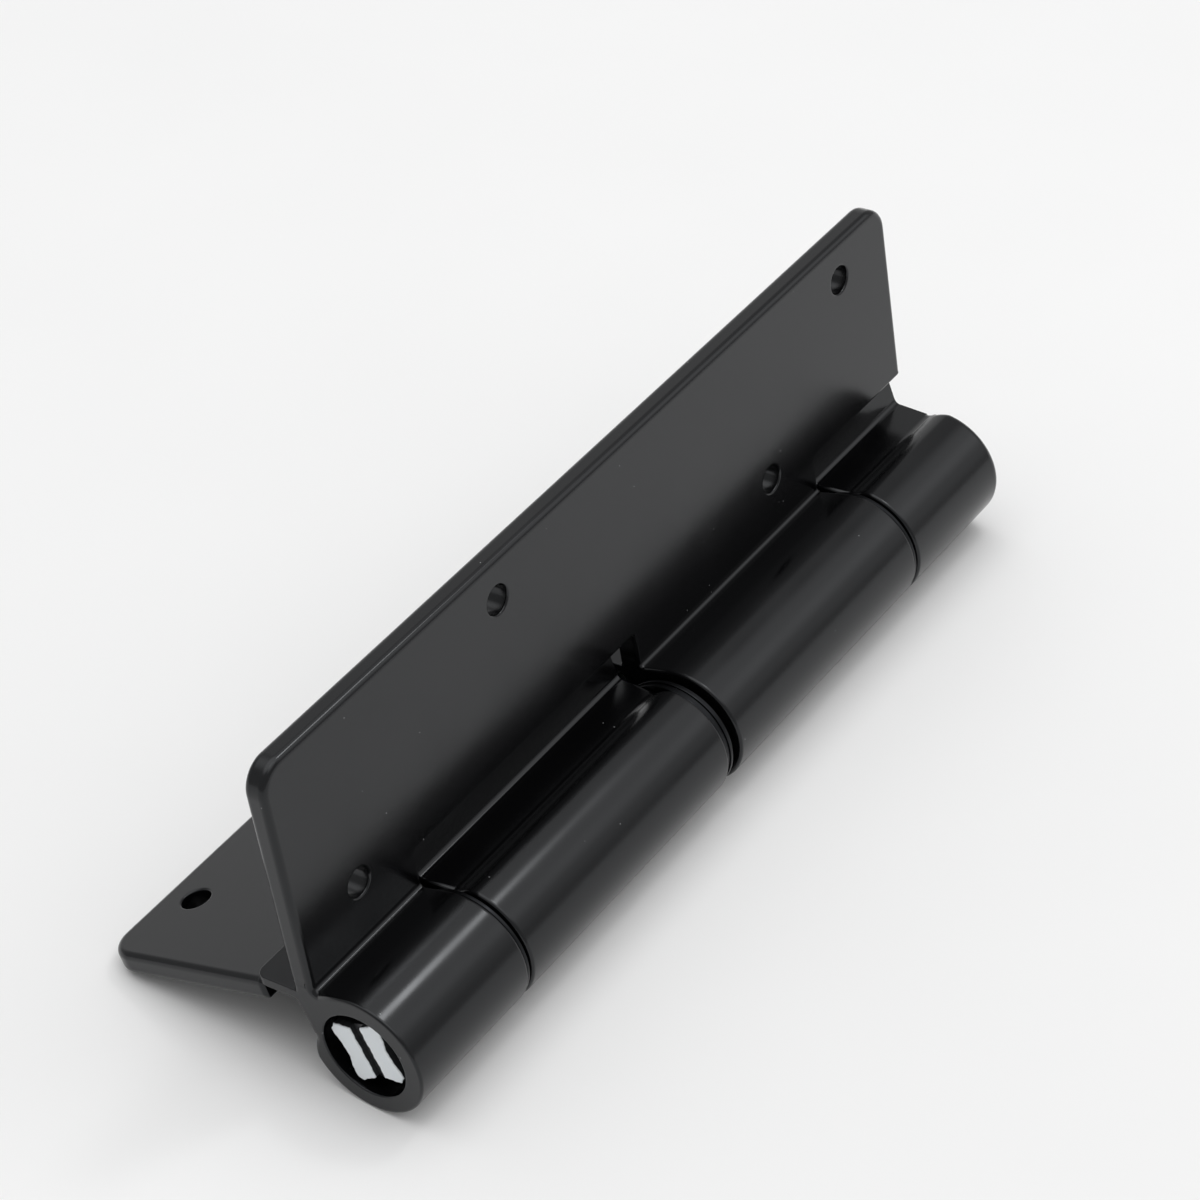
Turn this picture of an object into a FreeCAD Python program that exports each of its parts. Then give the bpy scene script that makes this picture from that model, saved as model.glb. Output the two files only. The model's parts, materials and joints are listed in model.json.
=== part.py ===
"""Self-closing gate hinge with two identical leaves, built as it lies on a table.

The hinge axis runs along X. Every piece is first drawn about that axis, with x counted from the
near end of the first knuckle. The finished pieces are then set down, so that the knuckles and the
outer edge of the post leaf rest on z = 0 and the origin is under the middle of the whole hinge.

A leaf's own section is drawn with p along its plate and q from its mounting side to its knuckle
side. In the drawing frame p is Y and q is Z.
"""
import math
import os

import FreeCAD
import Part

V = FreeCAD.Vector

# Knuckles, along the hinge axis
KNUCKLE_SHORT = 30.0
KNUCKLE_LONG = 60.0
GAP_OUTER = 1.2
GAP_MIDDLE = 4.0
KNUCKLE_OD = 24.0
KNUCKLE_BORE = 17.0
KNUCKLE_RIM_CHAMFER = 0.5
KNUCKLE_END_CHAMFER = 1.0

# Plate of a leaf
PLATE_BACK = 13.0
PLATE_THICKNESS = 4.4
PLATE_REACH = 57.0
PLATE_CORNER_RADIUS = 5.5
PLATE_EDGE_RADIUS = 1.2
NOTCH_EDGE = 18.0
NOTCH_CHAMFER = 0.6

# Neck between knuckle and plate, and the locating lip that points into the gate gap
NECK_CORNER = 10.4
NECK_CORNER_FILLET = 0.8
LIP_FACE = 8.45
LIP_THICKNESS = 1.2
LIP_REACH = 21.4
LIP_CORNER_RADIUS = 2.0
LIP_EDGE_CHAMFER = 0.3
LIP_ROOT_FILLET = 1.0
LIP_GROOVE_FILLET = 1.0
LIP_GROOVE_SLOPE = 17.8
LIP_GROOVE_FOOT = 12.45
STOP_GAP = 0.15

# Screw holes of a leaf: an outer row counted from its far end, an inner row from its first end
SCREW_HOLE = 5.5
SCREW_HOLE_CHAMFER = 0.4
OUTER_ROW_INSET = 7.9
OUTER_END_INSET = 16.6
OUTER_SPACING = 108.0
INNER_ROW_INSET = 4.2
INNER_END_INSET = 16.0
INNER_SPACING = 125.2

# Fits
RUNNING_CLEARANCE = 0.05
PRESS_CLEARANCE = 0.05
HEAD_CLEARANCE = 0.1
TURNING_CLEARANCE = 0.3
END_PLAY = 0.6

# Spring adjuster with its shank, which is the pivot of the outer knuckles
ADJUSTER_RECESS = 0.9
BOSS_HEIGHT = 2.8
BOSS_STEP = 0.6
BOSS_LENGTH = 12.4
BOSS_FLATS = 11.2
SLOT_WIDTH = 2.3
SLOT_DEPTH = 1.2
SLOT_ANGLE = 62.4
HEAD_LENGTH = 13.0
HEAD_CHAMFER = 0.5
SHANK_OD = 9.0
SHANK_GRIP_IN_ANCHOR = 7.0

# Lock screw of the adjuster, on the underside of the outer knuckle
LOCK_SCREW_OD = 5.0
LOCK_SCREW_SINK = 0.4
LOCK_SOCKET_FLATS = 2.5
LOCK_SOCKET_DEPTH = 2.0
LOCK_GROOVE_DEPTH = 1.5
LOCK_GROOVE_SIDE_PLAY = 0.4
LOCK_TIP_GAP = 0.3
LOCK_SCREW_X = 10.5
GATE_LOCK_ANGLE = -97.0
POST_LOCK_ANGLE = -80.0

# Bushes and washers
BUSH_LENGTH = 8.0
GAP_WASHER_INSET = 0.3
GAP_WASHER_THICKNESS = 0.7
THICK_WASHER_INSET = 0.5
THICK_WASHER_THICKNESS = 2.0
THIN_WASHER_INSET = 1.0
THIN_WASHER_THICKNESS = 0.7
SPACER_BORE_INSET = 1.0
SPACER_PLAY = 0.1
WASHER_HOLE_CLEARANCE = 0.2

# Spring set: driver on the shank, torsion spring, anchor in the long knuckle
DRIVER_GAP = 0.8
DRIVER_LENGTH = 7.0
DRIVER_PIN_OD = 3.0
DRIVER_PIN_SETBACK = 2.4
ANCHOR_LENGTH = 15.2
WIRE_HEIGHT = 2.4
COIL_BORE_GAP = 1.0
COIL_SHANK_GAP = 0.6
COIL_TURNS = 5
COIL_END_GAP = 0.1
TANG_LENGTH = 4.0
TANG_SLOT_PLAY = 0.3
TANG_SLOT_DEPTH = 4.4

# Derived places along the axis
KNUCKLE_R = KNUCKLE_OD / 2
BORE_R = KNUCKLE_BORE / 2
LENGTH = 2 * (KNUCKLE_SHORT + GAP_OUTER + KNUCKLE_LONG) + GAP_MIDDLE
SHORT_END = KNUCKLE_SHORT
LONG_START = SHORT_END + GAP_OUTER
LONG_END = LONG_START + KNUCKLE_LONG
MIDDLE_END = LONG_END + GAP_MIDDLE
SECOND_LONG_END = MIDDLE_END + KNUCKLE_LONG
LEAF_SPANS = ((0.0, SHORT_END), (MIDDLE_END, SECOND_LONG_END))

HEAD_START = ADJUSTER_RECESS + BOSS_HEIGHT
DRIVER_START = LONG_START + BUSH_LENGTH + DRIVER_GAP
DRIVER_END = DRIVER_START + DRIVER_LENGTH
ANCHOR_START = LONG_END - ANCHOR_LENGTH
SHANK_END = ANCHOR_START + SHANK_GRIP_IN_ANCHOR
PIN_START = SHANK_END + END_PLAY
SHANK_R = SHANK_OD / 2
PIVOT_BORE_R = SHANK_R + RUNNING_CLEARANCE
HEAD_R = BORE_R - HEAD_CLEARANCE
COIL_OUTER_R = BORE_R - COIL_BORE_GAP
COIL_INNER_R = SHANK_R + COIL_SHANK_GAP
TANG_SLOT_WIDTH = WIRE_HEIGHT + 2 * TANG_SLOT_PLAY

# Derived places in a leaf's section
PLATE_FRONT = PLATE_BACK - PLATE_THICKNESS
PLATE_ROOT = NECK_CORNER + 0.5 * NECK_CORNER_FILLET
ROOT_OVERLAP = 0.8
OUTER_ROW = PLATE_REACH - OUTER_ROW_INSET
INNER_ROW = NOTCH_EDGE + INNER_ROW_INSET
OUTER_HOLES_X = (LENGTH - OUTER_END_INSET - OUTER_SPACING, LENGTH - OUTER_END_INSET)
INNER_HOLES_X = (INNER_END_INSET, INNER_END_INSET + INNER_SPACING)


def opening_at_rest():
    """Angle between the plates, in degrees, where each lip comes to rest on the other plate.

    Either the lip's face meets the edge of the other plate's notch, or its tip meets the plate.
    """
    edge = NOTCH_EDGE + NOTCH_CHAMFER
    edge_reach = math.hypot(edge, PLATE_BACK)
    tip_reach = math.hypot(LIP_FACE, LIP_REACH)
    on_edge = math.atan2(PLATE_BACK, edge) + math.acos((LIP_FACE - STOP_GAP) / edge_reach)
    on_plate = math.atan2(LIP_REACH, LIP_FACE) + math.asin((PLATE_BACK + STOP_GAP) / tip_reach)
    return math.degrees(max(on_edge, on_plate))


def lying_tilt():
    """Slope of the post leaf, in degrees, with its outer edge and the knuckles on one plane."""
    along = PLATE_REACH - PLATE_EDGE_RADIUS
    across = PLATE_FRONT + PLATE_EDGE_RADIUS
    drop = math.asin((PLATE_EDGE_RADIUS - KNUCKLE_R) / math.hypot(along, across))
    return math.degrees(drop - math.atan2(across, along))


POST_ANGLE = lying_tilt()
GATE_ANGLE = POST_ANGLE + opening_at_rest()
HALF_ANGLE = (POST_ANGLE + GATE_ANGLE) / 2


def depth_middle():
    """Middle of the resting hinge across the axis: from the knuckle's front to the post leaf's edge."""
    tilt = math.radians(POST_ANGLE)
    along = PLATE_REACH - PLATE_EDGE_RADIUS
    across = PLATE_BACK - PLATE_EDGE_RADIUS
    back = along * math.cos(tilt) - across * math.sin(tilt) + PLATE_EDGE_RADIUS
    return (back - KNUCKLE_R) / 2


def polar(radius, degrees, x=0.0):
    """Point at a radius and an angle about the hinge axis."""
    angle = math.radians(degrees)
    return V(x, radius * math.cos(angle), radius * math.sin(angle))


def rod(radius, start, end):
    """Round bar on the hinge axis from start to end."""
    return Part.makeCylinder(radius, end - start, V(start, 0, 0), V(1, 0, 0))


def tube(outer, inner, start, end):
    """Round sleeve on the hinge axis from start to end."""
    return rod(outer, start, end).cut(rod(inner, start, end))


def round_edges(shape):
    """Full circles among a shape's edges."""
    return [e for e in shape.Edges if isinstance(e.Curve, Part.Circle) and e.isClosed()]


def middle_of(edge):
    """Point halfway along an edge."""
    return edge.valueAt((edge.FirstParameter + edge.LastParameter) / 2)


def line(a, b):
    """Straight edge between two points."""
    return Part.LineSegment(a, b).toShape()


def arc(a, b, c):
    """Round edge from a through b to c."""
    return Part.Arc(a, b, c).toShape()


def neck_tangent_angle():
    """Angle about the axis, in degrees, where the front of the neck leaves the ring on a tangent."""
    reach = math.hypot(NECK_CORNER, PLATE_FRONT)
    return math.degrees(math.acos(KNUCKLE_R / reach) - math.atan2(PLATE_FRONT, NECK_CORNER))


def lip_groove():
    """Ends and middles of the two round stretches of the groove between the ring and the lip, in order.

    A fillet leads from the ring to a flank, which slopes down to the lip, and another fillet from the
    flank to the lip's face.
    """
    slope = math.radians(LIP_GROOVE_SLOPE)
    down = V(0, math.cos(slope), -math.sin(slope))
    to_flank = V(0, math.sin(slope), math.cos(slope))
    foot = V(0, LIP_FACE, -LIP_GROOVE_FOOT)

    beside = foot - to_flank * LIP_GROOVE_FILLET
    along = beside.dot(down)
    reach = KNUCKLE_R + LIP_GROOVE_FILLET
    ring_centre = beside - down * (along - math.sqrt(along ** 2 + reach ** 2 - beside.dot(beside)))
    to_ring = ring_centre * (-1 / reach)

    setback = LIP_ROOT_FILLET * (1 - math.sin(slope)) / math.cos(slope)
    lip_centre = foot - to_flank * LIP_ROOT_FILLET - down * setback
    to_lip = V(0, 1, 0)
    return (
        ring_centre + to_ring * LIP_GROOVE_FILLET,
        ring_centre + (to_ring + to_flank).normalize() * LIP_GROOVE_FILLET,
        ring_centre + to_flank * LIP_GROOVE_FILLET,
        lip_centre + to_flank * LIP_ROOT_FILLET,
        lip_centre + (to_flank + to_lip).normalize() * LIP_ROOT_FILLET,
        lip_centre + to_lip * LIP_ROOT_FILLET,
    )


def ring_end_angle():
    """Angle about the axis, in degrees and past the far side, where the ring runs into the lip's groove."""
    contact = lip_groove()[0]
    return math.degrees(math.atan2(contact.z, contact.y)) + 360


def knuckle_section():
    """Face of a knuckle, its neck and the root of its plate, in the plane x = 0.

    The front of the neck leaves the ring on a tangent and meets the plate in a small fillet.
    On the lip side a groove runs from the ring to the root of the lip.
    """
    corner = V(0, NECK_CORNER, -PLATE_FRONT)
    tangent = polar(KNUCKLE_R, neck_tangent_angle())

    flank = (tangent - corner).normalize()
    along = V(0, 1, 0)
    half_turn = flank.getAngle(along) / 2
    setback = NECK_CORNER_FILLET / math.tan(half_turn)
    fillet_flank = corner + flank * setback
    fillet_plate = corner + along * setback
    bisector = (flank + along).normalize()
    to_middle = NECK_CORNER_FILLET / math.sin(half_turn) - NECK_CORNER_FILLET
    fillet_middle = corner + bisector * to_middle

    ring_end, ring_middle, flank_start, flank_end, lip_middle, lip_root = lip_groove()
    in_lip = V(0, LIP_FACE + LIP_THICKNESS / 2, lip_root.z)
    lip_back = V(0, in_lip.y, -PLATE_BACK)

    far_side = polar(KNUCKLE_R, (neck_tangent_angle() + ring_end_angle()) / 2)
    root_back = V(0, PLATE_ROOT + ROOT_OVERLAP, -PLATE_BACK)
    root_front = V(0, PLATE_ROOT + ROOT_OVERLAP, -PLATE_FRONT)
    outline = [
        arc(tangent, far_side, ring_end),
        arc(ring_end, ring_middle, flank_start),
        line(flank_start, flank_end),
        arc(flank_end, lip_middle, lip_root),
        line(lip_root, in_lip),
        line(in_lip, lip_back),
        line(lip_back, root_back),
        line(root_back, root_front),
        line(root_front, fillet_plate),
        arc(fillet_plate, fillet_middle, fillet_flank),
        line(fillet_flank, tangent),
    ]
    return Part.Face(Part.Wire(outline))


def plate_outline():
    """Plan of the plate in x and p: two rounded outer corners and the notches for the other leaf."""
    (first_start, first_end), (second_start, second_end) = LEAF_SPANS
    r = PLATE_CORNER_RADIUS
    inset = r * (1 - math.sqrt(0.5))
    z = -PLATE_BACK
    points = [
        V(0, PLATE_REACH - r, z),
        V(first_start, PLATE_ROOT, z),
        V(first_end, PLATE_ROOT, z),
        V(first_end, NOTCH_EDGE, z),
        V(second_start, NOTCH_EDGE, z),
        V(second_start, PLATE_ROOT, z),
        V(second_end, PLATE_ROOT, z),
        V(second_end, NOTCH_EDGE, z),
        V(LENGTH, NOTCH_EDGE, z),
        V(LENGTH, PLATE_REACH - r, z),
    ]
    edges = [line(a, b) for a, b in zip(points, points[1:])]
    far_corner = V(LENGTH - r, PLATE_REACH, z)
    near_corner = V(r, PLATE_REACH, z)
    edges.append(arc(points[-1], V(LENGTH - inset, PLATE_REACH - inset, z), far_corner))
    edges.append(line(far_corner, near_corner))
    edges.append(arc(near_corner, V(inset, PLATE_REACH - inset, z), points[0]))
    return Part.Face(Part.Wire(edges))


def plate():
    """Plate with its two ends and outer edge rounded on both faces."""
    slab = plate_outline().extrude(V(0, 0, PLATE_THICKNESS))

    def on_rounded_side(edge):
        point = middle_of(edge)
        flat = abs(edge.valueAt(edge.FirstParameter).z - edge.valueAt(edge.LastParameter).z) < 1e-6
        at_end = min(abs(point.x), abs(point.x - LENGTH)) < 1e-6
        return flat and (at_end or point.y > PLATE_REACH - PLATE_CORNER_RADIUS)

    return slab.makeFillet(PLATE_EDGE_RADIUS, [e for e in slab.Edges if on_rounded_side(e)])


def lip(start, end):
    """Locating lip over one knuckle, square to the plate, with rounded corners and a broken free edge."""
    depth = LIP_REACH - PLATE_BACK + LIP_ROOT_FILLET
    blank = Part.makeBox(end - start, LIP_THICKNESS, depth, V(start, LIP_FACE, -LIP_REACH))
    corners = [e for e in blank.Edges
               if abs(middle_of(e).z + LIP_REACH) < 1e-6 and abs(e.tangentAt(e.FirstParameter).y) > 0.5]
    blank = blank.makeFillet(LIP_CORNER_RADIUS, corners)
    tip = [e for e in blank.Edges
           if abs(middle_of(e).z + LIP_REACH) < 1e-6 and abs(e.tangentAt(e.FirstParameter).x) > 0.5]
    return blank.makeChamfer(LIP_EDGE_CHAMFER, tip)


def rim_cutter(x, inward):
    """Cutter that chamfers the outer rim of a knuckle at x; inward is +1 or -1 along the axis."""
    c = KNUCKLE_END_CHAMFER if x == 0 else KNUCKLE_RIM_CHAMFER
    low = V(x, KNUCKLE_R - c, 0)
    rim = V(x, KNUCKLE_R + c, 0)
    deep = V(x + inward * 2 * c, KNUCKLE_R + c, 0)
    face = Part.Face(Part.Wire([line(low, rim), line(rim, deep), line(deep, low)]))
    start = neck_tangent_angle()
    face.rotate(V(0, 0, 0), V(1, 0, 0), start)
    return face.revolve(V(0, 0, 0), V(1, 0, 0), ring_end_angle() - start)


def notch_cutter(start, end, face, inward):
    """Cutter that chamfers a notch's edge between two places along the axis, on one face of the plate."""
    c = NOTCH_CHAMFER
    corner = V(start, NOTCH_EDGE - c, face - inward * c)
    along = V(start, NOTCH_EDGE + 2 * c, face - inward * c)
    deep = V(start, NOTCH_EDGE - c, face + inward * 2 * c)
    triangle = Part.Face(Part.Wire([line(corner, along), line(along, deep), line(deep, corner)]))
    return triangle.extrude(V(end - start, 0, 0))


def screw_hole(x, p):
    """Screw hole through the plate with a small chamfer on both faces."""
    r = SCREW_HOLE / 2
    c = SCREW_HOLE_CHAMFER
    hole = Part.makeCylinder(r, PLATE_THICKNESS, V(x, p, -PLATE_BACK))
    back = Part.makeCone(r + c, r, c, V(x, p, -PLATE_BACK))
    front = Part.makeCone(r, r + c, c, V(x, p, -PLATE_FRONT - c))
    return hole.fuse([back, front])


def lock_hole(angle):
    """Radial hole for the lock screw in the first knuckle's wall, at an angle about the axis."""
    r = LOCK_SCREW_OD / 2 + PRESS_CLEARANCE
    start = polar(BORE_R - 1, angle, LOCK_SCREW_X)
    return Part.makeCylinder(r, KNUCKLE_R - BORE_R + 2, start, polar(1, angle))


def leaf(lock_angle):
    """One leaf in its own section frame, with its first knuckle at x = 0."""
    body = plate()
    section = knuckle_section()
    for start, end in LEAF_SPANS:
        knuckle = section.extrude(V(end - start, 0, 0)).translated(V(start, 0, 0))
        body = body.fuse([knuckle, lip(start, end)])
    for start, end in LEAF_SPANS:
        body = body.cut(rod(BORE_R, start - 1, end + 1))
        for x, inward in ((start, 1), (end, -1)):
            body = body.cut(rim_cutter(x, inward))
    (_, first_end), (second_start, second_end) = LEAF_SPANS
    for start, end in ((first_end, second_start), (second_end, LENGTH + 1)):
        body = body.cut(notch_cutter(start, end, -PLATE_BACK, 1))
        body = body.cut(notch_cutter(start, end, -PLATE_FRONT, -1))
    for x in OUTER_HOLES_X:
        body = body.cut(screw_hole(x, OUTER_ROW))
    for x in INNER_HOLES_X:
        body = body.cut(screw_hole(x, INNER_ROW))
    return body.cut(lock_hole(lock_angle)).removeSplitter()


def end_for_end(shape):
    """The same piece at the other end of the hinge: half a turn about the line between the leaves."""
    return shape.rotated(V(LENGTH / 2, 0, 0), polar(1, HALF_ANGLE), 180)


def gate_leaf():
    """Upright leaf, which swings with the gate."""
    return leaf(GATE_LOCK_ANGLE - GATE_ANGLE).rotated(V(0, 0, 0), V(1, 0, 0), GATE_ANGLE)


def post_leaf():
    """Lying leaf, which stays on the post: the gate leaf's form turned end for end."""
    upright = leaf(POST_ANGLE - POST_LOCK_ANGLE).rotated(V(0, 0, 0), V(1, 0, 0), GATE_ANGLE)
    return end_for_end(upright)


def across_axis(start, length, width, height):
    """Block centred on the hinge axis, from a place along it."""
    return Part.makeBox(length, width, height, V(start, -width / 2, -height / 2))


def adjuster():
    """Slotted spring adjuster: flat-sided boss, head with a lock groove, and a long shank."""
    boss = rod(HEAD_R - BOSS_STEP, ADJUSTER_RECESS, HEAD_START)
    flats = across_axis(ADJUSTER_RECESS, BOSS_HEIGHT, BOSS_LENGTH, BOSS_FLATS)
    slot = across_axis(ADJUSTER_RECESS, SLOT_DEPTH, KNUCKLE_BORE, SLOT_WIDTH)
    boss = boss.common(flats).cut(slot).rotated(V(0, 0, 0), V(1, 0, 0), SLOT_ANGLE)
    head = rod(HEAD_R, HEAD_START, HEAD_START + HEAD_LENGTH)
    head = head.makeChamfer(HEAD_CHAMFER, round_edges(head))
    groove_start = LOCK_SCREW_X - LOCK_SCREW_OD / 2 - LOCK_GROOVE_SIDE_PLAY
    groove_end = LOCK_SCREW_X + LOCK_SCREW_OD / 2 + LOCK_GROOVE_SIDE_PLAY
    groove = tube(BORE_R, HEAD_R - LOCK_GROOVE_DEPTH, groove_start, groove_end)
    shank = rod(SHANK_R, HEAD_START, SHANK_END)
    pin_hole = driver_pin_bar(DRIVER_PIN_OD / 2 + PRESS_CLEARANCE)
    return boss.fuse([head.cut(groove), shank]).cut(pin_hole).removeSplitter()


def driver_pin_bar(radius):
    """Solid bar across the driver and the shank, where the driver pin goes."""
    half = BORE_R - TURNING_CLEARANCE - PRESS_CLEARANCE
    return Part.makeCylinder(radius, 2 * half, V(DRIVER_START + DRIVER_PIN_SETBACK, 0, -half))


def tang_slot(face_x, inward):
    """Radial slot for a spring's tang, cut into a spring seat from its face."""
    x = min(face_x, face_x + inward * TANG_SLOT_DEPTH)
    inner_corner = V(x, SHANK_R + PRESS_CLEARANCE, -TANG_SLOT_WIDTH / 2)
    return Part.makeBox(TANG_SLOT_DEPTH, BORE_R, TANG_SLOT_WIDTH, inner_corner)


def driver():
    """Collar pinned to the shank, with the slot that turns the spring."""
    collar = tube(BORE_R - TURNING_CLEARANCE, SHANK_R + PRESS_CLEARANCE, DRIVER_START, DRIVER_END)
    return collar.cut(tang_slot(DRIVER_END, -1)).cut(driver_pin_bar(DRIVER_PIN_OD / 2 + PRESS_CLEARANCE))


def driver_pin():
    """Dowel that holds the driver on the shank."""
    return driver_pin_bar(DRIVER_PIN_OD / 2)


def torsion_spring():
    """Left-hand torsion spring of square wire, with a tang at each end that lies along the axis."""
    start = DRIVER_END + COIL_END_GAP
    end = ANCHOR_START - COIL_END_GAP
    width = COIL_OUTER_R - COIL_INNER_R
    half = WIRE_HEIGHT / 2
    height = end - start - WIRE_HEIGHT
    path = Part.makeHelix(height / COIL_TURNS, height, (COIL_INNER_R + COIL_OUTER_R) / 2, 0, True)
    corners = [V(r, 0, side * half) for r, side in
               ((COIL_INNER_R, -1), (COIL_OUTER_R, -1), (COIL_OUTER_R, 1), (COIL_INNER_R, 1))]
    section = Part.Wire([line(a, b) for a, b in zip(corners, corners[1:] + corners[:1])])
    sweep = Part.BRepOffsetAPI.MakePipeShell(path)
    sweep.setBiNormalMode(V(0, 0, 1))
    sweep.add(section)
    sweep.build()
    sweep.makeSolid()
    coil = sweep.shape()
    tang = TANG_LENGTH + WIRE_HEIGHT
    first = Part.makeBox(width, WIRE_HEIGHT, tang, V(COIL_INNER_R, -half, -half - TANG_LENGTH))
    last = Part.makeBox(width, WIRE_HEIGHT, tang, V(COIL_INNER_R, -half, height - half))
    spring = coil.fuse([first, last]).removeSplitter()
    spring.rotate(V(0, 0, 0), V(0, 1, 0), 90)
    spring.rotate(V(0, 0, 0), V(1, 0, 0), 90)
    return spring.translated(V(start + half, 0, 0))


def anchor():
    """Plug in the long knuckle that holds the spring's still end and carries shank and pivot pin."""
    plug = tube(BORE_R - PRESS_CLEARANCE, PIVOT_BORE_R, ANCHOR_START, LONG_END)
    return plug.cut(tang_slot(ANCHOR_START, 1))


def lock_screw(angle):
    """Set screw with a hexagon socket; its tip reaches into the adjuster's groove."""
    outer = KNUCKLE_R - LOCK_SCREW_SINK
    inner = HEAD_R - LOCK_GROOVE_DEPTH + LOCK_TIP_GAP
    screw = Part.makeCylinder(LOCK_SCREW_OD / 2, outer - inner, V(0, 0, inner))
    screw = screw.makeChamfer(LOCK_SCREW_OD / 10, round_edges(screw))
    socket_r = LOCK_SOCKET_FLATS / math.sqrt(3)
    points = [V(socket_r * math.cos(math.radians(60 * k)), socket_r * math.sin(math.radians(60 * k)), outer)
              for k in range(6)]
    hexagon = Part.Face(Part.Wire([line(a, b) for a, b in zip(points, points[1:] + points[:1])]))
    screw = screw.cut(hexagon.extrude(V(0, 0, -LOCK_SOCKET_DEPTH)))
    screw.rotate(V(0, 0, 0), V(1, 0, 0), angle - 90)
    return screw.translated(V(LOCK_SCREW_X, 0, 0))


def gate_lock_screw():
    """Lock screw of the near adjuster."""
    return lock_screw(GATE_LOCK_ANGLE)


def post_lock_screw():
    """Lock screw of the far adjuster, set in the same place seen from the other end."""
    return end_for_end(lock_screw(2 * HALF_ANGLE - POST_LOCK_ANGLE))


def bush(start):
    """Plain bearing sleeve that the shank turns in."""
    return tube(BORE_R - PRESS_CLEARANCE, PIVOT_BORE_R, start, start + BUSH_LENGTH)


def washer(radius, start, end):
    """Flat ring on the pivot."""
    return tube(radius, PIVOT_BORE_R + WASHER_HOLE_CLEARANCE, start, end)


def pivot_pin():
    """Pin between the two long knuckles, loose between the ends of the shanks."""
    return rod(SHANK_R, PIN_START, LENGTH - PIN_START)


def pieces():
    """Every piece of the hinge by name, about the hinge axis."""
    thick_end = LONG_END + THICK_WASHER_THICKNESS
    thin_end = thick_end + THIN_WASHER_THICKNESS
    gap_washer_r = KNUCKLE_R - GAP_WASHER_INSET
    near_bush = bush(SHORT_END - BUSH_LENGTH)
    inner_bush = bush(LONG_START)
    return {
        "gate_leaf": gate_leaf(),
        "post_leaf": post_leaf(),
        "near_adjuster": adjuster(),
        "far_adjuster": end_for_end(adjuster()),
        "near_lock_screw": gate_lock_screw(),
        "far_lock_screw": post_lock_screw(),
        "near_spring_driver": driver(),
        "far_spring_driver": end_for_end(driver()),
        "near_driver_pin": driver_pin(),
        "far_driver_pin": end_for_end(driver_pin()),
        "near_torsion_spring": torsion_spring(),
        "far_torsion_spring": end_for_end(torsion_spring()),
        "near_spring_anchor": anchor(),
        "far_spring_anchor": end_for_end(anchor()),
        "near_end_bush": near_bush,
        "near_inner_bush": inner_bush,
        "far_inner_bush": end_for_end(inner_bush),
        "far_end_bush": end_for_end(near_bush),
        "near_gap_washer": washer(gap_washer_r, SHORT_END, SHORT_END + GAP_WASHER_THICKNESS),
        "far_gap_washer": washer(gap_washer_r, SECOND_LONG_END, SECOND_LONG_END + GAP_WASHER_THICKNESS),
        "middle_thick_washer": washer(KNUCKLE_R - THICK_WASHER_INSET, LONG_END, thick_end),
        "middle_thin_washer": washer(KNUCKLE_R - THIN_WASHER_INSET, thick_end, thin_end),
        "middle_spacer": washer(BORE_R - SPACER_BORE_INSET, thin_end, MIDDLE_END - SPACER_PLAY),
        "pivot_pin": pivot_pin(),
    }


def main():
    """Set every piece down in the resting frame and write its file."""
    os.makedirs("parts", exist_ok=True)
    rest = V(-LENGTH / 2, -depth_middle(), KNUCKLE_R)
    for name, shape in pieces().items():
        shape.translated(rest).exportStep(f"parts/{name}.step")


main()
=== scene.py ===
"""Looks of a self-closing gate hinge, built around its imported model.

The leaves, washers, adjusters and lock screws are worked out here with numpy, in millimetres, in each
piece's own drawing frame, and are then set down in the model's frame in metres. Nearly every surface is
the side of a rounded prism: an outline carried along a straight path, with a quarter round at both ends.
The hidden spring set keeps its modelled shape and gets its finishes here.
"""
from __future__ import annotations

import json
import logging
import math
from dataclasses import dataclass, replace
from enum import Enum
from typing import Any, Sequence

import bmesh
import bpy
import numpy as np
from mathutils import Matrix
from mathutils.geometry import tessellate_polygon


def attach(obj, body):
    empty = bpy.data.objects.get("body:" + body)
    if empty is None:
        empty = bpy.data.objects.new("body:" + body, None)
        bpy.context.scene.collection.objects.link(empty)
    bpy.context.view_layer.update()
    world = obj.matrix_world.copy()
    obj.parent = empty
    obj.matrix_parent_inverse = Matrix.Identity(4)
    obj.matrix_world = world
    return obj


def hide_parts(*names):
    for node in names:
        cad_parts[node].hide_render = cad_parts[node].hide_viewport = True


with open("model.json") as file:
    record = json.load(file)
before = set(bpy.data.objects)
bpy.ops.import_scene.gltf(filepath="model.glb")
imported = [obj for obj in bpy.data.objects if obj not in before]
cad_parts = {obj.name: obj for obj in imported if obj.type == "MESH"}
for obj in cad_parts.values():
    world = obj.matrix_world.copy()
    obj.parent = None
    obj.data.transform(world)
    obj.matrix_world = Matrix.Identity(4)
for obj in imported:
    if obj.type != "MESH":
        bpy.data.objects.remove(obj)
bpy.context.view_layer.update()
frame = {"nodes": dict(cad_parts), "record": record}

LOG = logging.getLogger("hinge")
Array = np.ndarray
Tree = bpy.types.NodeTree
Socket = bpy.types.NodeSocket
Inputs = dict[str, Any]
Pair = tuple[float, float]
Pairs = tuple[Pair, ...]
Triple = tuple[float, float, float]

MM = 0.001
# Steps of every quarter round, and the rows of a rounded end together with its two support rows.
RIM_STEPS = 6
END_ROWS = RIM_STEPS + 3
# Distance of a support point from its edge, and the largest share of a stretch that it may take.
SUPPORT = 0.12
SUPPORT_SHARE = 0.33
# Distance by which a hidden face stands back behind the one that covers it.
HIDDEN_STEP = 0.02
# Degrees between the points of a large round, of a plain circle and of a small corner.
ROUND_STEP = 3.0
CIRCLE_STEP = 5.0
CORNER_STEP = 15.0
# Faces along each side of the window for the lock screw's hole.
WINDOW_STEPS = 8
SQUARE = np.array([[-1.0, -1.0], [1.0, -1.0], [1.0, 1.0], [-1.0, 1.0]])
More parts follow.
